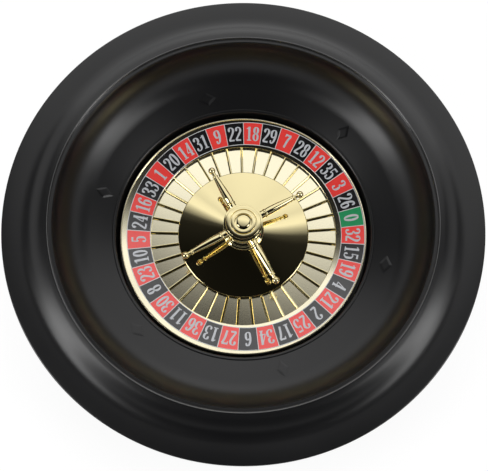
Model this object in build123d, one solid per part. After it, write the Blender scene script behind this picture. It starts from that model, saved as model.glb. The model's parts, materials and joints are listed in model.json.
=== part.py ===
from build123d import *
from math import cos, radians, sin, sqrt, tan
import os

# A table-top roulette wheel: a black moulded bowl on a casing with rubber feet, and a gold-plated
# rotor that spins on two ball bearings. Millimetres, +Z up, origin on the spin axis at table level.

# Driving dimensions
OUTER_DIAMETER = 409.0
RIDGE_HEIGHT = 85.0
FOOT_HEIGHT = 3.5
WALL = 2.5
POCKETS = 37
ZERO_ANGLE = 8.45
ARM_ANGLE = 29.2

# Bowl: rim, dish and well
RIM_RADIUS = OUTER_DIAMETER / 2
RIDGE_RADIUS = 164.6
CREASE_RADIUS = 185.5
CREASE_HEIGHT = RIDGE_HEIGHT - 7.4
BRIM_HEIGHT = RIDGE_HEIGHT - 7.0
BRIM_DROP = 5.6
LEDGE_DROP = 2.0
LEDGE_RADIUS = 160.9
TRACK_TOP = (160.0, 82.4)
TRACK_MIDDLE = (152.555, 60.602)
TRACK_FOOT = (134.5, 46.3)
SLOPE_ANGLE = 22.0
WELL_RADIUS = 113.4
WELL_FLOOR = 13.0
BOSS_RADIUS = 13.0
BOSS_TOP = 14.5
GAP = 0.15

# Ball deflectors moulded into the dish, by turns long along the slope and wide across it
DEFLECTOR_RADIUS = 128.0
DEFLECTOR_HEIGHT = 0.5
DEFLECTOR_FIRST = 45.0
DEFLECTOR_LONG = (9.6, 5.4)
DEFLECTOR_WIDE = (6.6, 8.4)

# Casing and bottom plate
CASING_CURVE = 130.0
CASING_CENTRE = (RIM_RADIUS - 3.0 - CASING_CURVE, BRIM_HEIGHT - WALL - 0.4)
PLATE_TOP = FOOT_HEIGHT + WALL
PLATE_RADIUS = 160.0
SCREW_CIRCLE = 88.0
SCREW_RADIUS = 1.7
CASING_SCREW_CIRCLE = 154.0
FOOT_CIRCLE = 140.0
FOOT_RADIUS = 11.0

# Rotor: number land, pockets and web
ROTOR_RADIUS = 110.3
LAND_ANGLE = 10.0
LAND_MIDDLE = (96.1, 28.4)
LAND_INNER = 83.3
POCKET_FLOOR = 22.4
POCKET_INNER = 58.6
ROTOR_WALL = 2.2
SKIRT_BOTTOM = 16.4
FRET_THICKNESS = 1.5
PRINT_INNER = 85.0
PRINT_OUTER = 107.2
PRINT_THICKNESS = 0.25
PRINT_OFFSET = 2.2

# Cone and turret
CONE_ANGLE = 12.0
CONE_EDGE_HEIGHT = 26.9
CONE_WALL = 1.8
CONE_BORE = 12.1
TURRET_BASE_RADIUS = 18.3
STEM_RADIUS = 12.3
STEM_BOTTOM = 42.0
CAP_BOTTOM = 58.4
CAP_RADIUS = 17.0
ARM_HEIGHT = 53.4
ARM_REACH = 57.0
ARM_ROOT = 9.0
BALL_RADIUS = 3.15

# Bearings (8 x 22 x 7) and spindle
SHAFT_RADIUS = 4.0
BEARING_RADIUS = 11.0
BEARING_WIDTH = 7.0
INNER_RING_RADIUS = 6.1
OUTER_RING_RADIUS = 9.1
BALLS = 7
BALL_PITCH = (INNER_RING_RADIUS + OUTER_RING_RADIUS) / 2
RACE_BALL = 1.95
LOWER_BEARING = 17.0
BEARING_SPACE = 2.0
UPPER_BEARING = LOWER_BEARING + BEARING_WIDTH + BEARING_SPACE
HUB_RADIUS = 15.0
HUB_BOTTOM = 16.7
HUB_FLANGE = 28.0
HUB_TOP = UPPER_BEARING + BEARING_WIDTH
HUB_SCREW_CIRCLE = 22.5
HUB_SCREW_RADIUS = 1.5


def turned(*edges):
    """A closed outline in radius and height, revolved round the spin axis."""
    return revolve(Plane.XZ * make_face(Curve() + list(edges)), Axis.Z)


def turned_outline(*points):
    return turned(Polyline(*points, close=True))


def tube(outer, inner, bottom, top):
    return turned_outline((inner, bottom), (outer, bottom), (outer, top), (inner, top))


def rod(radius, bottom, top, radius_from_axis=0.0, angle=0.0):
    place = Pos(*polar(radius_from_axis, angle), bottom)
    return place * Cylinder(radius, top - bottom, align=(Align.CENTER, Align.CENTER, Align.MIN))


def polar(radius, angle):
    return radius * cos(radians(angle)), radius * sin(radians(angle))


def around(count, first=0.0):
    return [first + 360.0 * i / count for i in range(count)]


def slope_height(radius):
    """Height on the straight slope between the ball track and the well."""
    return TRACK_FOOT[1] - tan(radians(SLOPE_ANGLE)) * (TRACK_FOOT[0] - radius)


def land_height(radius):
    return LAND_MIDDLE[1] + tan(radians(LAND_ANGLE)) * (radius - LAND_MIDDLE[0])


def cone_height(radius):
    return CONE_EDGE_HEIGHT + tan(radians(CONE_ANGLE)) * (POCKET_INNER - radius)


def make_rim_ring():
    """The brim, the raised band and the ridge round the mouth of the bowl."""
    ledge = RIDGE_HEIGHT - LEDGE_DROP
    edge = BRIM_HEIGHT - 1.0
    skirt = RIM_RADIUS - WALL
    return turned(
        Polyline(
            (RIM_RADIUS, edge),
            (RIM_RADIUS, edge - BRIM_DROP),
            (skirt, edge - BRIM_DROP),
            (skirt, BRIM_HEIGHT - WALL - 0.4),
            (CREASE_RADIUS + 1.0, CREASE_HEIGHT - WALL),
            (RIDGE_RADIUS + 3.6, RIDGE_HEIGHT - WALL - 1.4),
            (LEDGE_RADIUS, RIDGE_HEIGHT - WALL - 1.4),
            (LEDGE_RADIUS, ledge),
            (RIDGE_RADIUS - 1.0, ledge),
            (RIDGE_RADIUS - 0.6, RIDGE_HEIGHT - 0.7),
        ),
        ThreePointArc(
            (RIDGE_RADIUS - 0.6, RIDGE_HEIGHT - 0.7),
            (RIDGE_RADIUS + 0.4, RIDGE_HEIGHT),
            (RIDGE_RADIUS + 1.9, RIDGE_HEIGHT - 0.5),
        ),
        Line((RIDGE_RADIUS + 1.9, RIDGE_HEIGHT - 0.5), (CREASE_RADIUS - 3.0, CREASE_HEIGHT + 0.9)),
        ThreePointArc(
            (CREASE_RADIUS - 3.0, CREASE_HEIGHT + 0.9),
            (CREASE_RADIUS, CREASE_HEIGHT),
            (CREASE_RADIUS + 3.6, CREASE_HEIGHT - 0.1),
        ),
        Line((CREASE_RADIUS + 3.6, CREASE_HEIGHT - 0.1), (RIM_RADIUS - 1.6, BRIM_HEIGHT)),
        ThreePointArc(
            (RIM_RADIUS - 1.6, BRIM_HEIGHT),
            (RIM_RADIUS - 0.4, BRIM_HEIGHT - 0.3),
            (RIM_RADIUS, edge),
        ),
    )


def deflector(angle, half_along, half_across):
    """A low flat-topped diamond lying on the slope, with its foot sunk into the wall."""
    x, y = polar(DEFLECTOR_RADIUS, angle)
    corners = [(half_along, 0), (0, half_across), (-half_along, 0), (0, -half_across)]
    seat = Pos(x, y, slope_height(DEFLECTOR_RADIUS)) * Rot(0, 0, angle) * Rot(0, -SLOPE_ANGLE, 0)
    foot = make_face(Polyline(*corners, close=True))
    top = make_face(Polyline(*[(0.7 * u, 0.7 * v) for u, v in corners], close=True))
    lower = extrude(foot, -1.2)
    upper = loft([foot, Pos(0, 0, DEFLECTOR_HEIGHT) * top])
    return seat * (lower + upper)


def make_track_dish():
    """The ball track, the slope, the well that the rotor turns in, and the spindle's boss."""
    top = RIDGE_HEIGHT - LEDGE_DROP
    lip = LEDGE_RADIUS - GAP
    foot = RIDGE_HEIGHT - 2 * WALL
    flange = RIDGE_HEIGHT - WALL - 1.4
    outer = WELL_RADIUS + WALL
    edge = slope_height(WELL_RADIUS)
    under_track = ((outer, slope_height(outer) - 2.7), (135.437, 43.983), (154.597, 59.16), (162.335, foot))
    body = turned(
        ThreePointArc(TRACK_TOP, TRACK_MIDDLE, TRACK_FOOT),
        Polyline(
            TRACK_FOOT,
            (WELL_RADIUS + 2.6, edge + 1.05),
            (WELL_RADIUS + 1.9, edge + 1.2),
            (WELL_RADIUS + 0.6, edge + 0.7),
            (WELL_RADIUS, edge + 0.1),
            (WELL_RADIUS, WELL_FLOOR),
            (BOSS_RADIUS, WELL_FLOOR),
            (BOSS_RADIUS, BOSS_TOP),
            (SHAFT_RADIUS, BOSS_TOP),
            (SHAFT_RADIUS, PLATE_TOP),
            (BOSS_RADIUS, PLATE_TOP),
            (BOSS_RADIUS, WELL_FLOOR - WALL),
            (outer, WELL_FLOOR - WALL),
            under_track[0],
            under_track[1],
        ),
        ThreePointArc(*under_track[1:]),
        Polyline(
            under_track[3],
            (LEDGE_RADIUS + 5.0, foot),
            (LEDGE_RADIUS + 5.0, flange),
            (lip, flange),
            (lip, top),
            (TRACK_TOP[0] + 0.2, top),
            TRACK_TOP,
        ),
    )
    for angle in around(6, 30.0):
        body += rod(4.5, PLATE_TOP, WELL_FLOOR - WALL, SCREW_CIRCLE, angle)
        body -= rod(SCREW_RADIUS + 0.05, PLATE_TOP, WELL_FLOOR - 1.0, SCREW_CIRCLE, angle)
    for i, angle in enumerate(around(6, DEFLECTOR_FIRST)):
        body += deflector(angle, *(DEFLECTOR_WIDE if i % 2 else DEFLECTOR_LONG))
    return body


def casing_radius(height, inset=0.0):
    return CASING_CENTRE[0] + sqrt((CASING_CURVE - inset) ** 2 - (height - CASING_CENTRE[1]) ** 2)


def make_outer_casing():
    """The curved outer wall, from under the brim down to an inward foot ring."""
    top = CASING_CENTRE[1]
    base = FOOT_HEIGHT
    inside = PLATE_TOP + WALL
    middle = (top + base) / 2
    body = turned(
        ThreePointArc(
            (casing_radius(top), top), (casing_radius(middle), middle), (casing_radius(base), base)
        ),
        Polyline(
            (casing_radius(base), base),
            (PLATE_RADIUS + GAP, base),
            (PLATE_RADIUS + GAP, PLATE_TOP),
            (PLATE_RADIUS - 10.0, PLATE_TOP),
            (PLATE_RADIUS - 10.0, inside),
            (casing_radius(inside, WALL), inside),
        ),
        ThreePointArc(
            (casing_radius(inside, WALL), inside),
            (casing_radius(middle, WALL), middle),
            (casing_radius(top, WALL), top),
        ),
        Line((casing_radius(top, WALL), top), (casing_radius(top), top)),
    )
    for angle in around(6):
        body -= rod(SCREW_RADIUS + 0.05, PLATE_TOP, inside, CASING_SCREW_CIRCLE, angle)
    return body


def make_bottom_plate():
    body = rod(PLATE_RADIUS, FOOT_HEIGHT, PLATE_TOP)
    body -= rod(2.2, FOOT_HEIGHT, PLATE_TOP)
    for circle, first in ((SCREW_CIRCLE, 30.0), (CASING_SCREW_CIRCLE, 0.0)):
        for angle in around(6, first):
            body -= rod(SCREW_RADIUS + 0.2, FOOT_HEIGHT, PLATE_TOP, circle, angle)
    return body


def screw(radius, head_radius, head_height, seat, tip):
    """A pan-head screw that points up: its head is below the seat and its tip above."""
    head = rod(head_radius, seat - head_height, seat)
    head = fillet(head.edges().group_by(Axis.Z)[0], head_height * 0.45)
    slot = Pos(0, 0, seat - head_height) * Box(0.8, head_radius * 1.3, 1.4)
    cross = Pos(0, 0, seat - head_height) * Box(head_radius * 1.3, 0.8, 1.4)
    return head + rod(radius, seat, tip) - slot - cross


def group(shape, circle, angles):
    return Compound(children=[Pos(*polar(circle, a), 0) * Rot(0, 0, a) * shape for a in angles])


def make_foot():
    pad = rod(FOOT_RADIUS, 0.0, FOOT_HEIGHT)
    return fillet(pad.edges().group_by(Axis.Z)[0], 0.8)


def make_spindle():
    """The fixed steel shaft, with a flange on the boss and a step that carries the inner rings."""
    shaft = turned_outline(
        (0, PLATE_TOP),
        (SHAFT_RADIUS - 0.02, PLATE_TOP),
        (SHAFT_RADIUS - 0.02, BOSS_TOP),
        (9.6, BOSS_TOP),
        (9.6, BOSS_TOP + 1.6),
        (5.6, BOSS_TOP + 1.6),
        (5.6, LOWER_BEARING),
        (SHAFT_RADIUS, LOWER_BEARING),
        (SHAFT_RADIUS, 39.6),
        (SHAFT_RADIUS - 0.6, 40.2),
        (0, 40.2),
    )
    return shaft - rod(1.95, PLATE_TOP, 13.0)


def race(inner, outer, bottom):
    """One bearing ring with its ball groove."""
    ring = tube(outer, inner, bottom, bottom + BEARING_WIDTH)
    groove = Circle(RACE_BALL + 0.06).moved(Location((BALL_PITCH, bottom + BEARING_WIDTH / 2)))
    return ring - revolve(Plane.XZ * groove, Axis.Z)


def bearing_balls(bottom):
    ball = Pos(BALL_PITCH, 0, bottom + BEARING_WIDTH / 2) * Sphere(RACE_BALL)
    return Compound(children=[Rot(0, 0, a) * ball for a in around(BALLS)])


def bearing_cage(bottom):
    middle = bottom + BEARING_WIDTH / 2
    cage = tube(BALL_PITCH + 0.5, BALL_PITCH - 0.5, middle - 2.4, middle + 2.4)
    for angle in around(BALLS):
        hole = Pos(*polar(BALL_PITCH, angle), middle) * Rot(0, 0, angle) * Rot(0, 90, 0)
        cage -= hole * Cylinder(RACE_BALL + 0.06, 3.0)
    return cage


def bearing_shields(bottom):
    faces = (bottom + 0.2, bottom + BEARING_WIDTH - 0.6)
    outer, inner = OUTER_RING_RADIUS, INNER_RING_RADIUS + 0.15
    return Compound(children=[tube(outer, inner, z, z + 0.4) for z in faces])


def bearing(bottom):
    return {
        "inner_ring": race(SHAFT_RADIUS + 0.01, INNER_RING_RADIUS, bottom),
        "outer_ring": race(OUTER_RING_RADIUS, BEARING_RADIUS, bottom),
        "balls": bearing_balls(bottom),
        "cage": bearing_cage(bottom),
        "shields": bearing_shields(bottom),
    }


def make_lock_nut():
    hexagon = extrude(RegularPolygon(6.5, 6, major_radius=False), 4.4)
    return Pos(0, 0, HUB_TOP + 1.0) * hexagon - rod(SHAFT_RADIUS + 0.01, HUB_TOP, HUB_TOP + 6)


def make_bearing_hub():
    """The sleeve that holds both outer rings, with the flange that the web is screwed to."""
    web = POCKET_FLOOR
    return turned_outline(
        (BEARING_RADIUS + 0.01, HUB_BOTTOM),
        (HUB_RADIUS, HUB_BOTTOM),
        (HUB_RADIUS, web),
        (HUB_FLANGE, web),
        (HUB_FLANGE, web + 3.0),
        (HUB_RADIUS, web + 3.0),
        (HUB_RADIUS, HUB_TOP),
        (BEARING_RADIUS + 0.01, HUB_TOP),
        (BEARING_RADIUS + 0.01, UPPER_BEARING),
        (BEARING_RADIUS - 1.2, UPPER_BEARING),
        (BEARING_RADIUS - 1.2, LOWER_BEARING + BEARING_WIDTH),
        (BEARING_RADIUS + 0.01, LOWER_BEARING + BEARING_WIDTH),
    ) - group(rod(HUB_SCREW_RADIUS + 0.1, web, web + 3.0), HUB_SCREW_CIRCLE, around(4, 45.0))


def make_pocket_plate():
    """The flat disc that forms the pocket floors and carries the hub."""
    plate = tube(LAND_INNER, HUB_RADIUS + 0.1, POCKET_FLOOR - ROTOR_WALL, POCKET_FLOOR)
    holes = rod(HUB_SCREW_RADIUS + 0.1, POCKET_FLOOR - ROTOR_WALL, POCKET_FLOOR)
    return plate - group(holes, HUB_SCREW_CIRCLE, around(4, 45.0))


def make_number_land():
    """The sloping outer ring that carries the printed numbers, with its skirt."""
    wall = ROTOR_WALL
    return turned_outline(
        (LAND_INNER, POCKET_FLOOR - wall),
        (LAND_INNER + wall, POCKET_FLOOR - wall),
        (LAND_INNER + wall, land_height(LAND_INNER + wall) - wall),
        (ROTOR_RADIUS - wall, land_height(ROTOR_RADIUS - wall) - wall),
        (ROTOR_RADIUS - wall, SKIRT_BOTTOM),
        (ROTOR_RADIUS, SKIRT_BOTTOM),
        (ROTOR_RADIUS, land_height(ROTOR_RADIUS) + 0.3),
        (ROTOR_RADIUS - 0.4, land_height(ROTOR_RADIUS) + 0.8),
        (ROTOR_RADIUS - 0.9, land_height(ROTOR_RADIUS) + 0.8),
        (ROTOR_RADIUS - 1.4, land_height(ROTOR_RADIUS - 1.4)),
        (LAND_INNER + 0.3, land_height(LAND_INNER + 0.3)),
        (LAND_INNER, land_height(LAND_INNER) - 0.3),
    )


def make_pocket_frets():
    """The separators between the pockets: one upright plate for each number."""
    top_in = CONE_EDGE_HEIGHT - 0.9
    top_out = land_height(LAND_INNER) - 0.4
    side = Polyline(
        (POCKET_INNER + 0.1, POCKET_FLOOR),
        (LAND_INNER - 0.05, POCKET_FLOOR),
        (LAND_INNER - 0.05, top_out),
        (POCKET_INNER + 0.1, top_in),
        close=True,
    )
    plate = extrude(Plane.XZ * make_face(side), FRET_THICKNESS / 2, both=True)
    step = 360.0 / POCKETS
    return Compound(children=[Rot(0, 0, ZERO_ANGLE + (i + 0.5) * step) * plate for i in range(POCKETS)])


def make_number_print():
    """The printed ring, stuck on the land a little off centre."""
    inner, outer = PRINT_INNER, PRINT_OUTER
    slope = tan(radians(LAND_ANGLE))
    lift = PRINT_OFFSET * slope
    base = [(inner, land_height(inner)), (outer, land_height(outer))]
    ring = turned_outline(
        (inner, base[0][1]),
        (outer, base[1][1]),
        (outer, base[1][1] + PRINT_THICKNESS + lift),
        (inner, base[0][1] + PRINT_THICKNESS + lift),
    )
    return ring


def make_cone():
    """The polished cone inside the pockets, with its wall down to the pocket floor and screw posts."""
    wall = CONE_WALL
    drop = wall / cos(radians(CONE_ANGLE))
    edge = POCKET_INNER
    body = turned_outline(
        (edge, POCKET_FLOOR),
        (edge, cone_height(edge) - 0.4),
        (edge - 0.5, cone_height(edge - 0.5)),
        (CONE_BORE, cone_height(CONE_BORE)),
        (CONE_BORE, cone_height(CONE_BORE) - drop),
        (edge - wall, cone_height(edge - wall) - drop),
        (edge - wall, POCKET_FLOOR),
    )
    for angle in around(4, 45.0):
        under = cone_height(HUB_SCREW_CIRCLE + 3.4) - 0.6
        body += rod(3.2, POCKET_FLOOR + 3.0, under, HUB_SCREW_CIRCLE, angle)
        body -= rod(HUB_SCREW_RADIUS + 0.05, POCKET_FLOOR + 3.0, 29.6, HUB_SCREW_CIRCLE, angle)
    return body


def make_turret_base():
    """The round pedestal on top of the cone; its spigot goes down the cone's bore to the hub."""
    seat = cone_height(TURRET_BASE_RADIUS)
    bore = 9.2
    return turned(
        Polyline(
            (TURRET_BASE_RADIUS - 0.4, cone_height(TURRET_BASE_RADIUS - 0.4)),
            (TURRET_BASE_RADIUS, seat + 0.3),
            (TURRET_BASE_RADIUS, seat + 1.6),
            (TURRET_BASE_RADIUS - 0.8, seat + 2.3),
            (16.2, seat + 2.7),
            (15.6, seat + 3.5),
        ),
        ThreePointArc((15.6, seat + 3.5), (13.3, STEM_BOTTOM - 2.2), (12.6, STEM_BOTTOM)),
        Polyline(
            (12.6, STEM_BOTTOM),
            (2.6, STEM_BOTTOM),
            (2.6, STEM_BOTTOM - 1.4),
            (bore, STEM_BOTTOM - 1.4),
            (bore, HUB_TOP),
            (CONE_BORE - 0.1, HUB_TOP),
            (CONE_BORE - 0.1, cone_height(CONE_BORE - 0.1)),
            (TURRET_BASE_RADIUS - 0.4, cone_height(TURRET_BASE_RADIUS - 0.4)),
        ),
    )


def make_turret_stem():
    """The ringed body between pedestal and cap, bored for the tie bolt and the four arms."""
    low, high = STEM_BOTTOM, CAP_BOTTOM
    outline = [(2.6, low), (12.0, low), (12.9, low + 0.6), (12.9, low + 1.8), (11.6, low + 2.4)]
    outline += [(11.6, low + 3.2), (12.4, low + 3.8), (12.4, low + 4.8), (11.2, low + 5.6)]
    outline += [(11.2, low + 6.6), (STEM_RADIUS, low + 7.4), (STEM_RADIUS, high - 1.0)]
    outline += [(11.4, high), (2.6, high)]
    stem = turned_outline(*outline)
    socket = Pos(0, 0, ARM_HEIGHT) * Rot(0, 90, 0) * Cylinder(
        2.05, 2 * STEM_RADIUS, align=(Align.CENTER, Align.CENTER, Align.MIN)
    )
    cut = stem
    for angle in around(4, ARM_ANGLE):
        cut -= Rot(0, 0, angle) * Pos(ARM_ROOT, 0, 0) * socket
    return cut


def make_turret_cap():
    """The ringed disc on top of the turret, with a groove between its rings and a seat for the bolt."""
    low = CAP_BOTTOM
    return turned_outline(
        (2.6, low),
        (15.2, low),
        (CAP_RADIUS, low + 0.7),
        (CAP_RADIUS, low + 1.9),
        (15.4, low + 2.1),
        (15.1, low + 2.8),
        (11.8, low + 3.1),
        (11.5, low + 2.1),
        (10.9, low + 2.1),
        (10.6, low + 3.4),
        (7.6, low + 3.5),
        (7.3, low + 2.2),
        (2.6, low + 2.2),
    )


def make_cap_button():
    low = CAP_BOTTOM + 3.1
    return turned_outline(
        (0, low), (5.8, low), (5.8, low + 0.8), (5.4, low + 1.05), (2.4, low + 1.2), (0, low + 1.25)
    )


def make_tie_bolt():
    """The bolt down the middle of the turret that clamps cap, stem and pedestal."""
    low = CAP_BOTTOM + 2.2
    head = extrude(RegularPolygon(3.8, 6, major_radius=False), 0.9)
    return Pos(0, 0, low) * head + rod(2.5, STEM_BOTTOM - 1.4, low)


def make_arm():
    """One turned arm, lying along +X: spigot, collar, swelling shaft, neck and ball."""
    shoulder = STEM_RADIUS + 0.6
    outline = [(ARM_ROOT, 0), (ARM_ROOT, 2.0), (shoulder, 2.0), (shoulder, 3.6), (21.0, 3.4)]
    outline += [(21.3, 3.9), (22.3, 3.9), (22.6, 3.4), (25.5, 3.6), (29.0, 3.65), (34.0, 3.45)]
    outline += [(40.0, 3.05), (50.0, 2.1), (50.3, 2.5), (51.2, 2.5), (51.5, 1.7), (ARM_REACH, 1.5)]
    outline += [(ARM_REACH, 0)]
    shaft = revolve(make_face(Polyline(*outline, close=True)), Axis.X)
    return Pos(0, 0, ARM_HEIGHT) * (shaft + Pos(ARM_REACH, 0, 0) * Sphere(BALL_RADIUS))


def make_parts():
    parts = {
        "rim_ring": make_rim_ring(),
        "track_dish": make_track_dish(),
        "outer_casing": make_outer_casing(),
        "bottom_plate": make_bottom_plate(),
        "dish_screws": group(
            screw(SCREW_RADIUS, 3.4, 1.8, FOOT_HEIGHT, 11.4), SCREW_CIRCLE, around(6, 30.0)
        ),
        "casing_screws": group(
            screw(SCREW_RADIUS, 3.4, 1.8, FOOT_HEIGHT, 8.4), CASING_SCREW_CIRCLE, around(6)
        ),
        "spindle": make_spindle(),
        "spindle_screw": screw(1.9, 4.0, 2.0, FOOT_HEIGHT, 12.0),
        "bearing_spacer": tube(5.4, SHAFT_RADIUS + 0.01, UPPER_BEARING - BEARING_SPACE, UPPER_BEARING),
        "lock_washer": tube(7.4, SHAFT_RADIUS + 0.1, HUB_TOP, HUB_TOP + 1.0),
        "lock_nut": make_lock_nut(),
        "bearing_hub": make_bearing_hub(),
        "pocket_plate": make_pocket_plate(),
        "number_land": make_number_land(),
        "pocket_frets": make_pocket_frets(),
        "number_print": make_number_print(),
        "cone": make_cone(),
        "hub_screws": group(
            screw(HUB_SCREW_RADIUS, 2.8, 1.6, POCKET_FLOOR - ROTOR_WALL, 29.0),
            HUB_SCREW_CIRCLE,
            around(4, 45.0),
        ),
        "turret_base": make_turret_base(),
        "turret_stem": make_turret_stem(),
        "turret_cap": make_turret_cap(),
        "cap_button": make_cap_button(),
        "tie_bolt": make_tie_bolt(),
    }
    for number, angle in enumerate(around(4, ARM_ANGLE), 1):
        parts[f"turret_arm_{number}"] = Rot(0, 0, angle) * make_arm()
    for number, angle in enumerate(around(4, 45.0), 1):
        parts[f"foot_{number}"] = Pos(*polar(FOOT_CIRCLE, angle), 0) * make_foot()
    for place, bottom in (("lower", LOWER_BEARING), ("upper", UPPER_BEARING)):
        for name, shape in bearing(bottom).items():
            parts[f"{place}_bearing_{name}"] = shape
    return parts


os.makedirs("parts", exist_ok=True)
for node, shape in make_parts().items():
    export_step(shape, f"parts/{node}.step")
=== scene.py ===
import json
from math import cos, pi, radians, sin, tan

import bmesh
import bpy
import numpy as np
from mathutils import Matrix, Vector


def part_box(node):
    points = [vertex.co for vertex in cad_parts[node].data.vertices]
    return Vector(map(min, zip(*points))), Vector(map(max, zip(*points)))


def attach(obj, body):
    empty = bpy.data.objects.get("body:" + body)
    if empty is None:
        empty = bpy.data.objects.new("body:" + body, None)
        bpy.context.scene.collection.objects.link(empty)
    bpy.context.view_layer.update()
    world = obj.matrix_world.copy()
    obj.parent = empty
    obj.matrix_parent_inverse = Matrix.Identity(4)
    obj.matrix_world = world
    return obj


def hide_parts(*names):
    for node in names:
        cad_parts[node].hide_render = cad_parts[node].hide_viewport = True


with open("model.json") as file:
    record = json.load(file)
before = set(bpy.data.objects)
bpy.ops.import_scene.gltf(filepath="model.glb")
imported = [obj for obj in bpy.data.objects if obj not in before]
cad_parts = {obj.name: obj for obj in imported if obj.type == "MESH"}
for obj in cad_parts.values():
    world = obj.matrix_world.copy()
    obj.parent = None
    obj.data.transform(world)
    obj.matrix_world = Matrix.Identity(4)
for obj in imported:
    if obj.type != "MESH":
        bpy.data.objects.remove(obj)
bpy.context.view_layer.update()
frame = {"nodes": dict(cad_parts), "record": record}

# Sizes in millimetres, as the frame has them; MM turns them into metres.
MM = 0.001
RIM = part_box("rim_ring")[1][0] / MM
RIDGE_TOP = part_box("rim_ring")[1][2] / MM
RIDGE = 164.6
CREASE = 185.5
LEDGE = 160.9
TRACK = ((159.96, 81.7), (152.555, 60.602), (134.5, 46.3))
TRACK_UNDER = ((135.44, 43.98), (154.6, 59.16), (162.335, 80.0))
SLOPE = tan(radians(22.0))
WELL = 113.4
WELL_FLOOR = 13.0
WALL = 2.5
CASING_CURVE = 130.0
FINE = 384
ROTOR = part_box("number_land")[1][0] / MM
LAND_SLOPE = tan(radians(10.0))
LAND_MIDDLE = (96.1, 28.4)
LAND_INNER = 83.3
POCKET_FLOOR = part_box("pocket_plate")[1][2] / MM
CONE_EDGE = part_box("cone")[1][0] / MM
CONE_SLOPE = tan(radians(12.0))
CONE_EDGE_HEIGHT = 26.9
WEB = 2.2
PRINT_INNER, PRINT_OUTER = 85.6, 106.6
PRINT_SHIFT = 2.2
POCKETS = 37
ZERO_ANGLE = 8.45
ARM_ANGLE = 29.2
ARM_HEIGHT = 53.4
ARM_REACH = 57.0
BALL = 3.15
DEFLECTOR_RADIUS = 128.0
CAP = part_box("turret_cap")[0][2] / MM
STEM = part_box("turret_stem")[0][2] / MM
BOLT = 2.6
ORDER = (0, 32, 15, 19, 4, 21, 2, 25, 17, 34, 6, 27, 13, 36, 11, 30, 8, 23, 10, 5, 24, 16, 33, 1)
ORDER += (20, 14, 31, 9, 22, 18, 29, 7, 28, 12, 35, 3, 26)
REDS = {1, 3, 5, 7, 9, 12, 14, 16, 18, 19, 21, 23, 25, 27, 30, 32, 34, 36}


# ---- Surfaces -------------------------------------------------------------------------------

def rounded(*corners, steps=5):
    """Closed outline in radius and height. A corner (r, h, f) becomes the curve
    p(t) = (1-t)^2 a + 2 t (1-t) c + t^2 b, where a and b lie f along its two sides."""
    c = np.array([k[:2] for k in corners], float)
    f = np.array([k[2] if len(k) > 2 else 0.0 for k in corners])[:, None]
    before, after = np.roll(c, 1, 0) - c, np.roll(c, -1, 0) - c
    lengths = [np.linalg.norm(v, axis=1, keepdims=True) for v in (before, after)]
    a = c + before / lengths[0] * np.minimum(f, 0.45 * lengths[0])
    b = c + after / lengths[1] * np.minimum(f, 0.45 * lengths[1])
    t = np.linspace(0, 1, steps)[None, :, None]
    curve = (1 - t) ** 2 * a[:, None] + 2 * t * (1 - t) * c[:, None] + t**2 * b[:, None]
    return np.concatenate([k if r > 0 else k[:1] for k, r in zip(curve, f[:, 0])])


def tidy(mesh, angle):
    """Joins doubled points, turns faces outwards, and shades smooth up to an edge angle."""
    work = bmesh.new()
    work.from_mesh(mesh)
    bmesh.ops.remove_doubles(work, verts=work.verts, dist=1e-7)
    bmesh.ops.recalc_face_normals(work, faces=work.faces)
    work.to_mesh(mesh)
    work.free()
    mesh.shade_smooth()
    mesh.set_sharp_from_angle(angle=radians(angle))
    mesh.update()


def piece(name, points, faces, finish, body, replaces=(), angle=32, slot=None, index=None):
    """A mesh object from whole arrays: points in millimetres, quads, and a finish per face."""
    mesh = bpy.data.meshes.new(name)
    mesh.from_pydata((np.asarray(points) * MM).tolist(), [], faces.tolist())
    for m in finish if isinstance(finish, (list, tuple)) else [finish]:
        mesh.materials.append(m)
    if index is not None:
        mesh.polygons.foreach_set("material_index", np.asarray(index, np.int32))
    tidy(mesh, angle)
    thing = bpy.data.objects.new(name, mesh)
    bpy.context.scene.collection.objects.link(thing)
    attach(thing, body)
    if replaces:
        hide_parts(*replaces)
    return thing


def wrapped_faces(rows, columns, wrap_rows=True):
    """Quads of a grid whose columns close on themselves, and its rows too unless told not."""
    i = np.arange(rows if wrap_rows else rows - 1)[:, None]
    j = np.arange(columns)[None, :]
    k, m = (i + 1) % rows, (j + 1) % columns
    return np.stack([i * columns + j, k * columns + j, k * columns + m, i * columns + m], -1).reshape(-1, 4)


def turned_grid(outline, angles):
    """x = r cos a, y = r sin a, z = h for each angle a and each outline point (r, h)."""
    r, h = outline[:, 0], outline[:, 1]
    a = angles[:, None]
    return np.stack([r * np.cos(a), r * np.sin(a), h + 0 * a], -1)


def turned(name, outline, finish, body, replaces=(), segments=256, place=None, **more):
    """A closed outline carried once round the Z axis, or round the axis that place gives."""
    angles = np.linspace(0, 2 * pi, segments, endpoint=False)
    points = turned_grid(np.asarray(outline), angles).reshape(-1, 3)
    if place is not None:
        points = place(points)
    return piece(name, points, wrapped_faces(segments, len(outline)), finish, body, replaces, **more)


def slope(r):
    """Height of the straight slope between the ball track and the well at radius r."""
    return TRACK[2][1] - SLOPE * (TRACK[2][0] - np.asarray(r))


def arc(start, middle, end, count):
    """The circle's arc through three points: its centre c solves 2 (p - start) . c = p.p - start.start."""
    a, b, c = (np.array(p, float) for p in (start, middle, end))
    centre = np.linalg.solve(2 * np.array([b - a, c - a]), [b @ b - a @ a, c @ c - a @ a])
    turns = np.unwrap([np.arctan2(*(p - centre)[::-1]) for p in (a, b, c)])
    t = np.linspace(turns[0], turns[2], count)
    return centre + np.linalg.norm(a - centre) * np.stack([np.cos(t), np.sin(t)], 1)


def land(r):
    """Height of the sloping number land at radius r."""
    return LAND_MIDDLE[1] + LAND_SLOPE * (np.asarray(r) - LAND_MIDDLE[0])


def cone(r):
    """Height of the polished cone at radius r."""
    return CONE_EDGE_HEIGHT + CONE_SLOPE * (CONE_EDGE - np.asarray(r))


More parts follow.
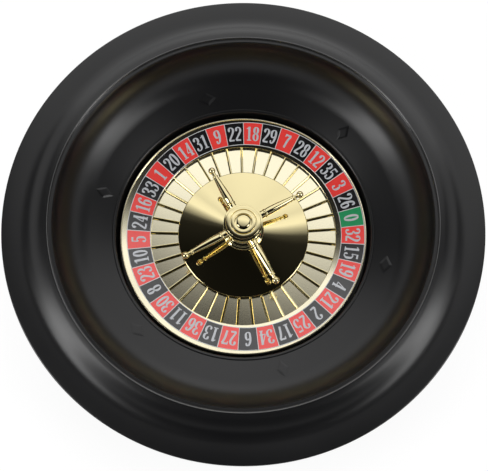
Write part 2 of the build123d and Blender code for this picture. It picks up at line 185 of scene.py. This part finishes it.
# ---- Finishes -------------------------------------------------------------------------------

def make_grain_group():
    """Fine grain and broad smudges on Object coordinates: a height and a roughness factor."""
    group = bpy.data.node_groups.new("surface_grain", "ShaderNodeTree")
    face = group.interface
    for label, value in (("Grain scale", 900.0), ("Smudge scale", 14.0), ("Smudge", 0.3), ("Rough", 0.3)):
        face.new_socket(label, in_out="INPUT", socket_type="NodeSocketFloat").default_value = value
    face.new_socket("Height", in_out="OUTPUT", socket_type="NodeSocketFloat")
    face.new_socket("Roughness", in_out="OUTPUT", socket_type="NodeSocketFloat")
    n, link = group.nodes, group.links
    entry, leave = n.new("NodeGroupInput"), n.new("NodeGroupOutput")
    where = n.new("ShaderNodeTexCoord")
    grain, smudge = n.new("ShaderNodeTexNoise"), n.new("ShaderNodeTexNoise")
    grain.inputs["Detail"].default_value = 2.0
    smudge.inputs["Detail"].default_value = 4.0
    for node, socket in ((grain, "Grain scale"), (smudge, "Smudge scale")):
        link.new(where.outputs["Object"], node.inputs["Vector"])
        link.new(entry.outputs[socket], node.inputs["Scale"])
    centre = n.new("ShaderNodeMath")
    centre.operation = "SUBTRACT"
    centre.inputs[1].default_value = 0.5
    amount, spread, total = (n.new("ShaderNodeMath") for _ in range(3))
    amount.operation = spread.operation = "MULTIPLY"
    total.operation = "ADD"
    link.new(smudge.outputs["Fac"], centre.inputs[0])
    link.new(centre.outputs[0], amount.inputs[0])
    link.new(entry.outputs["Smudge"], amount.inputs[1])
    link.new(amount.outputs[0], spread.inputs[0])
    link.new(entry.outputs["Rough"], spread.inputs[1])
    link.new(spread.outputs[0], total.inputs[0])
    link.new(entry.outputs["Rough"], total.inputs[1])
    link.new(grain.outputs["Fac"], leave.inputs["Height"])
    link.new(total.outputs[0], leave.inputs["Roughness"])
    return group


GRAIN = make_grain_group()
SMUDGE_SCALE = 14.0


def finish(name, colour, rough, metal=0.0, grain=900.0, bump=0.02, smudge=0.3,
           coat=0.0, coat_ior=1.5, level=0.5):
    """A material: one colour, with the grain group in its bump and its roughness."""
    made = bpy.data.materials.new(name)
    made.use_nodes = True
    n, link = made.node_tree.nodes, made.node_tree.links
    shader = n["Principled BSDF"]
    shader.inputs["Base Color"].default_value = (*colour, 1)
    shader.inputs["Metallic"].default_value = metal
    shader.inputs["Coat Weight"].default_value = coat
    shader.inputs["Coat Roughness"].default_value = 0.08
    shader.inputs["Coat IOR"].default_value = coat_ior
    shader.inputs["Specular IOR Level"].default_value = level
    worn = n.new("ShaderNodeGroup")
    worn.node_tree = GRAIN
    values = (grain, SMUDGE_SCALE, smudge, rough)
    for socket, value in zip(("Grain scale", "Smudge scale", "Smudge", "Rough"), values):
        worn.inputs[socket].default_value = value
    relief = n.new("ShaderNodeBump")
    relief.inputs["Strength"].default_value = bump
    relief.inputs["Distance"].default_value = 0.001
    link.new(worn.outputs["Height"], relief.inputs["Height"])
    link.new(relief.outputs["Normal"], shader.inputs["Normal"])
    link.new(worn.outputs["Roughness"], shader.inputs["Roughness"])
    return made


BLACK = finish("satin_black_moulding", (0.0045, 0.0045, 0.005), 0.3, bump=0.012, level=0.6)
DISH_BLACK = finish("satin_black_dish", (0.0045, 0.0045, 0.005), 0.3, bump=0.012, level=0.52)
BURNISHED = finish(
    "burnished_black_edge", (0.006, 0.006, 0.0065), 0.2, bump=0.004, coat=0.6, coat_ior=1.8, level=1.0
)
BASE = finish("matte_black_base", (0.02, 0.02, 0.021), 0.55, grain=1400, bump=0.08)
RUBBER = finish("foot_rubber", (0.025, 0.025, 0.025), 0.8, grain=1500, bump=0.12)
GOLD = finish("polished_gold_plate", (0.86, 0.75, 0.42), 0.06, metal=1.0, bump=0.004, smudge=0.5)
PALE = finish("bright_gold_plate", (0.97, 0.90, 0.66), 0.13, metal=1.0, bump=0.008, smudge=0.5)
STEEL = finish("zinc_steel", (0.56, 0.56, 0.57), 0.3, metal=1.0, grain=2400, bump=0.03)
RACE = finish("ground_bearing_steel", (0.66, 0.66, 0.67), 0.16, metal=1.0, bump=0.01)
HUB = finish("turned_aluminium", (0.62, 0.62, 0.64), 0.34, metal=1.0, grain=1800, bump=0.04)
def lacquered(name, colour):
    """A printed ink under a clear lacquer."""
    return finish(name, colour, 0.2, coat=1.0, coat_ior=1.6)


INK = {
    "white": lacquered("print_white", (0.6, 0.6, 0.6)),
    "red": lacquered("print_red", (0.86, 0.036, 0.028)),
    "black": lacquered("print_black", (0.008, 0.008, 0.009)),
    "silver": lacquered("print_silver", (0.5, 0.51, 0.54)),
    "green": lacquered("print_green", (0.006, 0.27, 0.09)),
}
SLOTS = {
    "black_plastic": BLACK, "base_plastic": BASE, "rubber": RUBBER, "gold": GOLD, "steel": STEEL,
    "bearing_steel": RACE, "hub_metal": HUB, "print": INK["white"],
}


def paint_frame():
    """Every node of the frame takes the finish of its own slot."""
    for part in frame["record"]["subparts"]:
        for socket in frame["nodes"][part["node"]].material_slots:
            socket.material = SLOTS[part["material_slot"]]


# ---- Bowl -----------------------------------------------------------------------------------

def make_rim():
    """The flat brim with its rounded edge, the band up to the ridge, and the step inside it."""
    brim, crease = RIDGE_TOP - 7.0, RIDGE_TOP - 7.4
    under = RIDGE_TOP - WALL - 1.4
    outline = rounded(
        (RIM, crease - 0.7, 1.2), (RIM, brim - 6.6, 0.5), (RIM - WALL, brim - 6.6, 0.5),
        (RIM - WALL, brim - WALL - 0.4), (CREASE + 1, crease - WALL), (RIDGE + 3.6, under),
        (LEDGE, under), (LEDGE, RIDGE_TOP - 2.0, 0.3), (RIDGE - 0.9, RIDGE_TOP - 2.0, 0.5),
        (RIDGE - 0.7, RIDGE_TOP + 0.15, 1.1), (RIDGE + 7.0, RIDGE_TOP - 1.3, 7.0),
        (CREASE - 2.6, crease - 0.75, 6.5), (RIM - 9.0, crease - 0.45, 5.0), steps=11,
    )
    outline[:, 1] = np.minimum(outline[:, 1], RIDGE_TOP)
    middle = (outline + np.roll(outline, -1, 0)) / 2
    edge = (middle[:, 0] > RIDGE - 1.2) & (middle[:, 0] < RIDGE + 0.9) & (middle[:, 1] > RIDGE_TOP - 1.9)
    turned(
        "rim", outline, [BLACK, BURNISHED], "bowl", ["rim_ring"], segments=FINE, slot="black_plastic",
        index=np.tile(edge, FINE),
    )


def make_dish():
    """The ball track's arc, the slope down to the well, the well itself and the spindle boss."""
    top = RIDGE_TOP - 2.0
    lip = LEDGE - 0.15
    track, below = arc(*TRACK, 64), arc(*TRACK_UNDER, 40)
    start = float(track[0, 0]) + 0.3
    edge = float(slope(WELL))
    well = rounded(
        (WELL + 2.6, edge + 1.05, 0.5), (WELL + 1.9, edge + 1.2, 0.4), (WELL + 0.6, edge + 0.7, 0.4),
        (WELL, edge + 0.1, 0.4), (WELL, WELL_FLOOR, 1.0), (13.0, WELL_FLOOR, 0.6),
        (13.0, 14.5, 0.4), (4.0, 14.5), (4.0, 6.0), (13.0, 6.0), (13.0, WELL_FLOOR - WALL),
        (WELL + WALL, WELL_FLOOR - WALL), (WELL + WALL, slope(WELL + WALL) - 2.7),
    )
    t = np.linspace(0, 1, 10)[1:-1, None]
    nose = (1 - t) ** 2 * (lip - 0.3, top) + 2 * t * (1 - t) * np.array((start, top)) + t**2 * track[0]
    lips = np.array([(LEDGE + 5, 80.0), (LEDGE + 5, 81.1), (lip, 81.1), (lip, top - 0.3), (lip - 0.3, top)])
    outline = np.concatenate([track, well, below, lips, nose])
    turned("dish", outline, DISH_BLACK, "bowl", ["track_dish"], segments=FINE, slot="black_plastic")


def make_deflectors():
    """Low diamonds on the slope. With s and t from -1 to 1, u = a (s + t) / 2 runs up the slope and
    v = b (s - t) / 2 across it, and the height over the dish is 0.4 min(1, 2.6 (1 - max(|s|, |t|)))."""
    n = 17
    s, t = np.meshgrid(np.linspace(-1, 1, n), np.linspace(-1, 1, n), indexing="ij")
    rim = np.maximum(np.abs(s), np.abs(t))
    shapes, quads, base = [], [], 0
    for k in range(6):
        along, across = (6.6, 8.4) if k % 2 else (9.6, 5.4)
        u, v = along * (s + t) / 2, across * (s - t) / 2
        r = DEFLECTOR_RADIUS + 0.86 * u
        a = radians(45.0 + 60 * k) + v / DEFLECTOR_RADIUS
        for lift in (0.4 * np.minimum(1, 2.6 * (1 - rim)) + 0.05, -0.6 + 0 * rim):
            shapes.append(np.stack([r * np.cos(a), r * np.sin(a), slope(r) + lift], -1).reshape(-1, 3))
        i, j = (m.ravel() for m in np.meshgrid(np.arange(n - 1), np.arange(n - 1), indexing="ij"))
        cell = np.stack([i * n + j, i * n + n + j, i * n + n + 1 + j, i * n + 1 + j], 1)
        step = np.arange(1, n)
        loop = [np.arange(n), step * n + n - 1, n * n - 1 - step, n * (n - 1) - n * step[:-1]]
        loop = np.concatenate(loop)
        wall = np.stack([loop, np.roll(loop, -1), np.roll(loop, -1) + n * n, loop + n * n], 1)
        quads.append(np.concatenate([cell, cell[:, ::-1] + n * n, wall]) + base)
        base += 2 * n * n
    points, faces = np.concatenate(shapes), np.concatenate(quads)
    piece("deflectors", points, faces, DISH_BLACK, "bowl", angle=12, slot="black_plastic")


def make_casing():
    """The bulging outer wall: its section is an arc that leans in towards the foot ring."""
    low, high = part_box("outer_casing")[0][2] / MM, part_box("outer_casing")[1][2] / MM
    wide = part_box("outer_casing")[1][0] / MM
    curve = CASING_CURVE
    h = np.linspace(low, high, 40)
    outer = np.stack([wide - curve + np.sqrt(curve**2 - (h - high) ** 2), h], 1)
    h = np.linspace(high, low + 2 * WALL, 40)
    inner = np.stack([wide - curve + np.sqrt((curve - WALL) ** 2 - (h - high) ** 2), h], 1)
    foot = np.array([(150.0, low + 2 * WALL), (150.0, low + WALL), (160.15, low + WALL), (160.15, low)])
    outline = np.concatenate([outer, inner, foot])
    turned("casing", outline, BLACK, "bowl", ["outer_casing"], segments=256, slot="black_plastic")


# ---- Rotor ----------------------------------------------------------------------------------

def make_land():
    """The number land: sloping top, rounded outer edge and skirt, and the pockets' outer wall."""
    floor, skirt = POCKET_FLOOR - WEB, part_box("number_land")[0][2] / MM
    outline = rounded(
        (LAND_INNER, floor, 0.2), (LAND_INNER + WEB, floor, 0.2),
        (LAND_INNER + WEB, land(LAND_INNER) - WEB),
        (ROTOR - WEB, land(ROTOR - WEB) - WEB), (ROTOR - WEB, skirt), (ROTOR, skirt, 0.4),
        (ROTOR, land(ROTOR) + 0.75, 0.55), (ROTOR - 1.3, land(ROTOR) + 0.85, 0.3),
        (ROTOR - 1.45, land(ROTOR - 1.45), 0.1), (LAND_INNER, land(LAND_INNER), 0.5),
    )
    turned("land", outline, PALE, "rotor", ["number_land"], segments=FINE, slot="gold")


def make_pocket_floor():
    """The plate under the pockets, with its bore for the hub."""
    bore, under = 15.1, POCKET_FLOOR - WEB
    outline = rounded((bore, under), (LAND_INNER, under), (LAND_INNER, POCKET_FLOOR), (bore, POCKET_FLOOR))
    turned("pocket_floor", outline, PALE, "rotor", ["pocket_plate"], segments=256, slot="gold")


def make_frets():
    """One rib per number: a rounded upright section carried from the cone to the land."""
    top_in, top_out = CONE_EDGE_HEIGHT - 0.9, land(LAND_INNER) - 0.4
    r = np.array([CONE_EDGE + 0.1, CONE_EDGE + 2.0, 65.0, 71.0, 77.0, LAND_INNER - 2.0, LAND_INNER - 0.05])
    top = np.interp(r, [r[0], r[-1]], [top_in, top_out])
    zero = 0 * r
    left = [(u + zero, POCKET_FLOOR + h + zero) for u, h in ((-1.15, 0), (-0.85, 0.35), (-0.75, 1.1))]
    left += [(u + zero, top + h) for u, h in ((-0.7, -0.55), (-0.55, -0.18), (-0.28, -0.03))]
    right = [(-u, h) for u, h in reversed(left)]
    section = np.array([(u, h) for u, h in left + right])
    count = len(section)
    rib = np.stack([np.broadcast_to(r, (count, len(r))), section[:, 0], section[:, 1]], -1)
    rib = rib.transpose(1, 0, 2)
    quads = wrapped_faces(len(r), count, wrap_rows=False)
    pairs = np.arange(count // 2 - 1)
    cap = np.stack([pairs, pairs + 1, count - 2 - pairs, count - 1 - pairs], 1)
    quads = np.concatenate([quads, cap, cap + (len(r) - 1) * count])
    rib = rib.reshape(-1, 3)
    a = np.radians(ZERO_ANGLE + (np.arange(POCKETS) + 0.5) * 360 / POCKETS)[:, None]
    x, y, z = rib.T
    points = np.stack([x * np.cos(a) - y * np.sin(a), x * np.sin(a) + y * np.cos(a), z + 0 * a], -1)
    faces = quads[None] + (np.arange(POCKETS) * len(rib))[:, None, None]
    piece("frets", points.reshape(-1, 3), faces.reshape(-1, 4), GOLD, "rotor", ["pocket_frets"], slot="gold")


def make_cone():
    """The cone: a shallow straight slope with a rounded edge, and its wall down to the pockets."""
    bore, wall = 12.1, 1.8
    outline = rounded(
        (CONE_EDGE, POCKET_FLOOR), (CONE_EDGE, cone(CONE_EDGE), 0.9), (bore, cone(bore)),
        (bore, cone(bore) - wall), (CONE_EDGE - wall, cone(CONE_EDGE) - wall),
        (CONE_EDGE - wall, POCKET_FLOOR), steps=8,
    )
    turned("cone_shell", outline, GOLD, "rotor", ["cone"], segments=FINE, slot="gold")


def on_print(u, v, lift):
    """Print coordinates to space: the print's own radius v and angle u, with its centre moved
    PRINT_SHIFT along X; the height is the land's there plus lift."""
    x, y = v * np.cos(u) + PRINT_SHIFT, v * np.sin(u)
    return np.stack([x, y, land(np.hypot(x, y)) + lift], -1)


def make_print():
    """The printed ring: one coloured cell per number, with white lines round each."""
    step, gap, parts = 2 * pi / POCKETS, 0.0032, 8
    edges = np.concatenate([np.linspace(gap, step - gap, parts + 1) + i * step for i in range(POCKETS)])
    angles = edges + radians(ZERO_ANGLE) - step / 2
    border, top, under = 0.55, 0.25, 0.02
    v = [PRINT_INNER, PRINT_INNER + border, 92.0, 99.0, PRINT_OUTER - border, PRINT_OUTER]
    v = np.array(v + [PRINT_OUTER, PRINT_INNER])
    lift = np.array([top] * 6 + [under] * 2)
    points = on_print(angles[:, None], v[None, :], lift[None, :])
    rows, columns = points.shape[:2]
    row, column = np.arange(rows)[:, None], np.arange(columns)[None, :]
    number = np.array([ORDER[-i] if i else 0 for i in range(POCKETS)])[row // (parts + 1)]
    ink = np.where(number == 0, 3, np.where(np.isin(number, list(REDS)), 1, 2))
    filled = (column >= 1) & (column <= 3) & (row % (parts + 1) < parts)
    index = np.where(filled, ink, 0).ravel()
    inks = [INK[k] for k in ("white", "red", "black", "green")]
    points, faces = points.reshape(-1, 3), wrapped_faces(rows, columns)
    piece("number_ring", points, faces, inks, "rotor", ["number_print"], slot="print", index=index)


def through(points, count=14):
    """A smooth path through the points: between p1 and p2 the Catmull-Rom curve
    p = (2 p1 + (p2-p0) t + (2 p0 - 5 p1 + 4 p2 - p3) t^2 + (3 p1 - p0 - 3 p2 + p3) t^3) / 2."""
    p = np.array(points, float)
    p = np.concatenate([2 * p[:1] - p[1:2], p, 2 * p[-1:] - p[-2:-1]])
    t = np.linspace(0, 1, count)[None, :, None]
    a, b, c, d = (p[i: len(p) - 3 + i][:, None] for i in range(4))
    curve = (2 * b + (c - a) * t + (2 * a - 5 * b + 4 * c - d) * t**2 + (3 * b - a - 3 * c + d) * t**3) / 2
    return np.concatenate([curve[:, :-1].reshape(-1, 2), p[-2:-1]])


def oval(x, y, wide, tall):
    """An oval as a closed path."""
    a = np.linspace(0, 2 * pi, 33)
    return np.stack([x + wide * np.cos(a), y + tall * np.sin(a)], 1)


def line(*points):
    return np.array(points, float)


# Each digit is a few pen strokes in a box 0.5 wide and 1 tall: (path, thin width, thick width).
HAIR, FAT = 0.062, 0.165
SIX = [(0.41, 0.83), (0.29, 0.96), (0.14, 0.80), (0.08, 0.45), (0.13, 0.12), (0.25, 0.04)]
SIX += [(0.39, 0.13), (0.42, 0.31), (0.36, 0.50), (0.25, 0.56), (0.12, 0.45)]
TWO = [(0.09, 0.74), (0.13, 0.90), (0.25, 0.96), (0.38, 0.87), (0.41, 0.70),
       (0.30, 0.46), (0.13, 0.2), (0.07, 0.05)]
THREE_TOP = [(0.09, 0.80), (0.14, 0.92), (0.25, 0.96), (0.38, 0.86), (0.37, 0.65), (0.22, 0.53)]
THREE_FOOT = [(0.22, 0.53), (0.40, 0.44), (0.42, 0.18), (0.27, 0.04), (0.13, 0.07), (0.08, 0.20)]
FIVE = [(0.10, 0.54), (0.25, 0.62), (0.40, 0.50), (0.42, 0.20), (0.27, 0.04), (0.13, 0.07), (0.08, 0.20)]
STROKES = {
    "0": [(oval(0.25, 0.5, 0.17, 0.46), HAIR, FAT)],
    "1": [(line((0.28, 0.02), (0.28, 0.98)), HAIR, FAT), (line((0.09, 0.83), (0.28, 0.95)), HAIR, HAIR),
          (line((0.10, 0.04), (0.46, 0.04)), HAIR, HAIR)],
    "2": [(through(TWO), HAIR, FAT),
          (line((0.05, 0.06), (0.45, 0.06)), 0.12, 0.12), (oval(0.11, 0.75, 0.03, 0.03), 0.06, 0.06)],
    "3": [(through(THREE_TOP), HAIR, FAT),
          (through(THREE_FOOT), HAIR, FAT),
          (oval(0.10, 0.80, 0.03, 0.03), 0.06, 0.06), (oval(0.10, 0.20, 0.03, 0.03), 0.06, 0.06)],
    "4": [(line((0.33, 0.96), (0.05, 0.30)), HAIR, HAIR), (line((0.03, 0.29), (0.48, 0.29)), HAIR, HAIR),
          (line((0.34, 0.98), (0.34, 0.02)), HAIR, FAT), (line((0.2, 0.04), (0.48, 0.04)), HAIR, HAIR)],
    "5": [(line((0.10, 0.92), (0.42, 0.92)), 0.12, 0.12), (line((0.12, 0.95), (0.10, 0.54)), HAIR, HAIR),
          (through(FIVE), HAIR, FAT),
          (oval(0.10, 0.20, 0.03, 0.03), 0.06, 0.06)],
    "6": [(through(SIX), HAIR, FAT), (oval(0.38, 0.82, 0.03, 0.03), 0.06, 0.06)],
    "7": [(line((0.05, 0.92), (0.46, 0.92)), 0.12, 0.12), (line((0.07, 0.96), (0.06, 0.76)), HAIR, HAIR),
          (through([(0.43, 0.90), (0.30, 0.55), (0.22, 0.02)]), HAIR, FAT)],
    "8": [(oval(0.25, 0.74, 0.14, 0.22), HAIR, FAT), (oval(0.25, 0.27, 0.165, 0.24), HAIR, FAT)],
    "9": [(through([(0.5 - x, 1 - y) for x, y in SIX]), HAIR, FAT), (oval(0.12, 0.18, 0.03, 0.03), 0.06, 0.06)],
}


def stroke(path, thin, thick):
    """A pen stroke: half its width is thin / 2 where it runs level and thick / 2 where upright,
    with the square of the direction's upright part between the two."""
    way = np.gradient(path, axis=0)
    way /= np.linalg.norm(way, axis=1, keepdims=True) + 1e-12
    half = (thin + (thick - thin) * way[:, 1:] ** 2) / 2
    across = np.stack([-way[:, 1], way[:, 0]], 1) * half
    return path + across, path - across


def make_numbers():
    """The numbers, read with their tops outwards: x on the page turns clockwise round the ring
    and y goes outwards. Each stroke is a thin closed bar."""
    tall, pitch, centre = 13.2, 6.5, 96.1
    shapes, quads, base = [], [], 0
    for k, number in enumerate(ORDER):
        middle = radians(ZERO_ANGLE) - 2 * pi * k / POCKETS
        text = str(number)
        for place, digit in enumerate(text):
            start = (place - (len(text) - 1) / 2) * pitch - 0.25 * tall * 0.9
            for path, thin, thick in STROKES[digit]:
                box, corner = (tall * 0.9, tall), (start, centre - tall / 2)
                sides = [np.asarray(e) * box + corner for e in stroke(path, thin, thick)]
                u = [middle - e[:, 0] / centre for e in sides]
                rows = [on_print(u[0], sides[0][:, 1], 0.31), on_print(u[1], sides[1][:, 1], 0.31)]
                rows += [on_print(u[1], sides[1][:, 1], 0.2), on_print(u[0], sides[0][:, 1], 0.2)]
                bar = np.stack(rows, 1)
                n = len(bar)
                faces = wrapped_faces(n, 4, wrap_rows=False)
                faces = np.concatenate([faces, [[0, 1, 2, 3], [4 * n - 1, 4 * n - 2, 4 * n - 3, 4 * n - 4]]])
                shapes.append(bar.reshape(-1, 3))
                quads.append(faces + base)
                base += 4 * n
    piece("numbers", np.concatenate(shapes), np.concatenate(quads), INK["silver"], "rotor", slot="print")


# ---- Turret ---------------------------------------------------------------------------------

def make_turret():
    """The turned stack on the cone: pedestal, ringed stem, ringed cap and domed button."""
    r = 18.3
    seat = float(cone(r))
    base = rounded(
        (r, seat - 0.05), (r, seat + 1.9, 0.9), (16.3, seat + 2.6, 0.4), (15.5, seat + 3.6, 0.3),
        (12.9, seat + 4.2, 1.6), (12.6, STEM), (BOLT, STEM), (BOLT, STEM - 1.4), (9.2, STEM - 1.4),
        (9.2, 33.0),
        (12.0, 33.0), (12.0, float(cone(12.0)) - 0.02), steps=6,
    )
    turned("pedestal", base, GOLD, "rotor", ["turret_base"], segments=128, slot="gold")
    s = STEM
    stem = rounded(
        (BOLT, s), (12.0, s, 0.2), (12.95, s + 0.7, 0.5), (12.95, s + 1.8, 0.5),
        (11.6, s + 2.4, 0.4), (11.6, s + 3.2, 0.4),
        (12.45, s + 3.9, 0.4), (12.45, s + 4.8, 0.4), (11.1, s + 5.6, 0.5),
        (11.1, s + 6.6, 0.5), (12.3, s + 7.4, 0.6),
        (12.3, CAP - 1.1, 0.6), (11.4, CAP, 0.2), (2.6, CAP), steps=5,
    )
    turned("stem", stem, GOLD, "rotor", ["turret_stem"], segments=128, slot="gold")
    c = CAP
    cap = rounded(
        (BOLT, c), (15.2, c, 0.3), (17.0, c + 0.9, 0.3), (17.0, c + 1.9, 0.2),
        (15.4, c + 2.1, 0.08), (15.1, c + 2.8, 0.2),
        (11.75, c + 3.1, 0.12), (11.6, c + 2.0, 0.05), (10.8, c + 2.0, 0.05),
        (10.6, c + 3.4, 0.2), (7.6, c + 3.5, 0.15),
        (7.4, c + 2.2, 0.1), (2.6, c + 2.2), steps=5,
    )
    turned("cap", cap, GOLD, "rotor", ["turret_cap"], segments=160, slot="gold")
    r = np.linspace(5.8, 0, 16)
    dome = np.stack([r, c + 4.15 + 0.12 * (1 - (r / 5.8) ** 2) - 0.35 * (r / 5.8) ** 16], 1)
    button = np.concatenate([[(0, c + 3.1), (5.8, c + 3.1)], dome])
    turned("button", button, GOLD, "rotor", ["cap_button"], segments=96, slot="gold")


def make_arms():
    """Four turned arms. The outline runs from the stem out to the ball; the ball's part of it is
    radius BALL cos a, distance reach + BALL sin a."""
    shaft = rounded(
        (0, 9.0), (2.0, 9.0), (2.0, 12.7), (3.7, 12.7, 0.4), (3.45, 20.8, 0.5),
        (3.95, 21.3, 0.3), (3.95, 22.4, 0.3), (3.45, 22.9, 0.4),
        (3.75, 28.5, 5.0), (3.05, 40.0, 5.0), (2.1, 49.9, 0.6),
        (2.6, 50.3, 0.3), (2.6, 51.2, 0.3), (1.7, 51.7, 0.4), steps=6,
    )
    a = np.linspace(-1.0, pi / 2, 20)
    ball = np.stack([BALL * np.cos(a), ARM_REACH + BALL * np.sin(a)], 1)
    ball[-1, 0] = 0
    for k in range(4):
        turn = radians(ARM_ANGLE + 90 * k)
        out, side = np.array([cos(turn), sin(turn), 0]), np.array([-sin(turn), cos(turn), 0])

        def place(p, out=out, side=side):
            return p[:, 2:] * out + p[:, :1] * side + p[:, 1:2] * (0, 0, 1) + (0, 0, ARM_HEIGHT)

        node = f"turret_arm_{k + 1}"
        outline = np.concatenate([shaft, ball])
        turned(f"arm_{k + 1}", outline, GOLD, "rotor", [node], segments=48, place=place, slot="gold")


# ---- Room -----------------------------------------------------------------------------------

def make_floor():
    """A pale floor. The camera sees it nearly white, with the shadow kept."""
    made = bpy.data.materials.new("studio_floor")
    made.use_nodes = True
    n, link = made.node_tree.nodes, made.node_tree.links
    n["Principled BSDF"].inputs["Base Color"].default_value = (0.8, 0.8, 0.8, 1)
    n["Principled BSDF"].inputs["Roughness"].default_value = 0.9
    glow, path, mix, part = (n.new("ShaderNode" + k) for k in ("Emission", "LightPath", "MixShader", "Math"))
    part.operation = "MULTIPLY"
    part.inputs[1].default_value = 0.86
    glow.inputs["Strength"].default_value = 1.06
    link.new(path.outputs["Is Camera Ray"], part.inputs[0])
    link.new(part.outputs[0], mix.inputs["Fac"])
    link.new(n["Principled BSDF"].outputs[0], mix.inputs[1])
    link.new(glow.outputs[0], mix.inputs[2])
    link.new(mix.outputs[0], n["Material Output"].inputs["Surface"])
    mesh = bpy.data.meshes.new("floor")
    s = 12.0
    mesh.from_pydata([(-s, -s, -2e-4), (s, -s, -2e-4), (s, s, -2e-4), (-s, s, -2e-4)], [], [(0, 1, 2, 3)])
    mesh.materials.append(made)
    floor = bpy.data.objects.new("floor", mesh)
    bpy.context.scene.collection.objects.link(floor)


# Brightness against the Z of the direction: a pale band low down, all round.
HORIZON = ((0, 0), (0.06, 0.4), (0.36, 0.4), (0.56, 0), (1, 0))
# Brightness of the room against y - 0.7 (x - 0.16)^2 of the direction: dark behind and overhead,
# then the near edge of a white panel, then the pale far wall.
ROOM = ((-1.0, 0.01), (-0.2, 0.004), (0.1, 0.012), (0.18, 0.04),
        (0.25, 0.42), (0.30, 0.84), (0.35, 0.80), (0.41, 0.66), (0.5, 0.78),
        (0.64, 0.72), (0.8, 0.82), (1.0, 1.1))


def make_world():
    """A studio room: light falls from a pale far wall and panel, and the near side is dark."""
    world = bpy.data.worlds.new("studio")
    bpy.context.scene.world = world
    world.use_nodes = True
    n, link = world.node_tree.nodes, world.node_tree.links
    room = n["Background"]
    room.inputs["Strength"].default_value = 1.4
    where, split, ramp = (n.new("ShaderNode" + k) for k in ("TexCoord", "SeparateXYZ", "ValToRGB"))
    link.new(where.outputs["Generated"], split.inputs[0])
    aside = math_node(n, link, "ADD", split.outputs["X"], -0.16)
    square = math_node(n, link, "MULTIPLY", aside, aside)
    drop = math_node(n, link, "MULTIPLY", square, 0.7)
    level = math_node(n, link, "SUBTRACT", split.outputs["Y"], drop)
    half = math_node(n, link, "MULTIPLY", level, 0.5)
    link.new(math_node(n, link, "ADD", half, 0.5), ramp.inputs["Fac"])
    stops = ramp.color_ramp.elements
    while len(stops) < len(ROOM):
        stops.new(0.5)
    for stop, (place, bright) in zip(stops, ROOM):
        stop.position = place / 2 + 0.5
        stop.color = (bright, bright, bright, 1)
    low = n.new("ShaderNodeValToRGB")
    link.new(split.outputs["Z"], low.inputs["Fac"])
    stops = low.color_ramp.elements
    while len(stops) < len(HORIZON):
        stops.new(0.5)
    for stop, (place, bright) in zip(stops, HORIZON):
        stop.position = place
        stop.color = (bright, bright, bright, 1)
    both = math_node(n, link, "MAXIMUM", ramp.outputs["Color"], low.outputs["Color"])
    link.new(both, room.inputs["Color"])
    page, path, mix = (n.new("ShaderNode" + k) for k in ("Background", "LightPath", "MixShader"))
    page.inputs["Color"].default_value = (1, 1, 1, 1)
    link.new(path.outputs["Is Camera Ray"], mix.inputs["Fac"])
    link.new(room.outputs[0], mix.inputs[1])
    link.new(page.outputs[0], mix.inputs[2])
    link.new(mix.outputs[0], n["World Output"].inputs["Surface"])


def math_node(nodes, link, operation, *values):
    """A Math node on sockets or plain numbers; returns its output."""
    made = nodes.new("ShaderNodeMath")
    made.operation = operation
    for socket, value in zip(made.inputs, values):
        if isinstance(value, (int, float)):
            socket.default_value = value
        else:
            link.new(value, socket)
    return made.outputs[0]


def softbox(name, azimuth, elevation, distance, wide, tall, power):
    """A rectangular lamp that faces the wheel from a direction."""
    lamp = bpy.data.lights.new(name, "AREA")
    lamp.shape = "RECTANGLE"
    lamp.size, lamp.size_y, lamp.energy = wide, tall, power
    thing = bpy.data.objects.new(name, lamp)
    a, e = radians(azimuth), radians(elevation)
    thing.location = Vector((cos(a) * cos(e), sin(a) * cos(e), sin(e))) * distance
    thing.rotation_euler = (-thing.location).to_track_quat("-Z", "Y").to_euler()
    bpy.context.scene.collection.objects.link(thing)
    return thing


def make_camera():
    """The viewpoint: high over the near edge, looking at the rotor's centre."""
    eye, target = Vector((0, -0.230, 0.801)), Vector((0, 0, 0.0284))
    data = bpy.data.cameras.new("camera")
    data.sensor_fit = "HORIZONTAL"
    data.sensor_width = 36.0
    data.lens = 66.25
    data.shift_x, data.shift_y = 0.00143, -0.00533
    data.clip_start = 0.01
    thing = bpy.data.objects.new("camera", data)
    thing.location = eye
    thing.rotation_euler = (target - eye).to_track_quat("-Z", "Y").to_euler()
    bpy.context.scene.collection.objects.link(thing)
    bpy.context.scene.camera = thing


paint_frame()
make_rim()
make_dish()
make_deflectors()
make_casing()
make_land()
make_pocket_floor()
make_frets()
make_cone()
make_print()
make_numbers()
make_turret()
make_arms()
make_floor()
make_world()
softbox("softbox_left", 200, 36, 1.6, 0.5, 1.35, 9)
softbox("softbox_right", -20, 36, 1.6, 0.5, 1.35, 8)
softbox("overhead", 90, 80, 1.6, 1.3, 1.3, 9).visible_glossy = False
make_camera()
bpy.context.scene.view_settings.view_transform = "Standard"
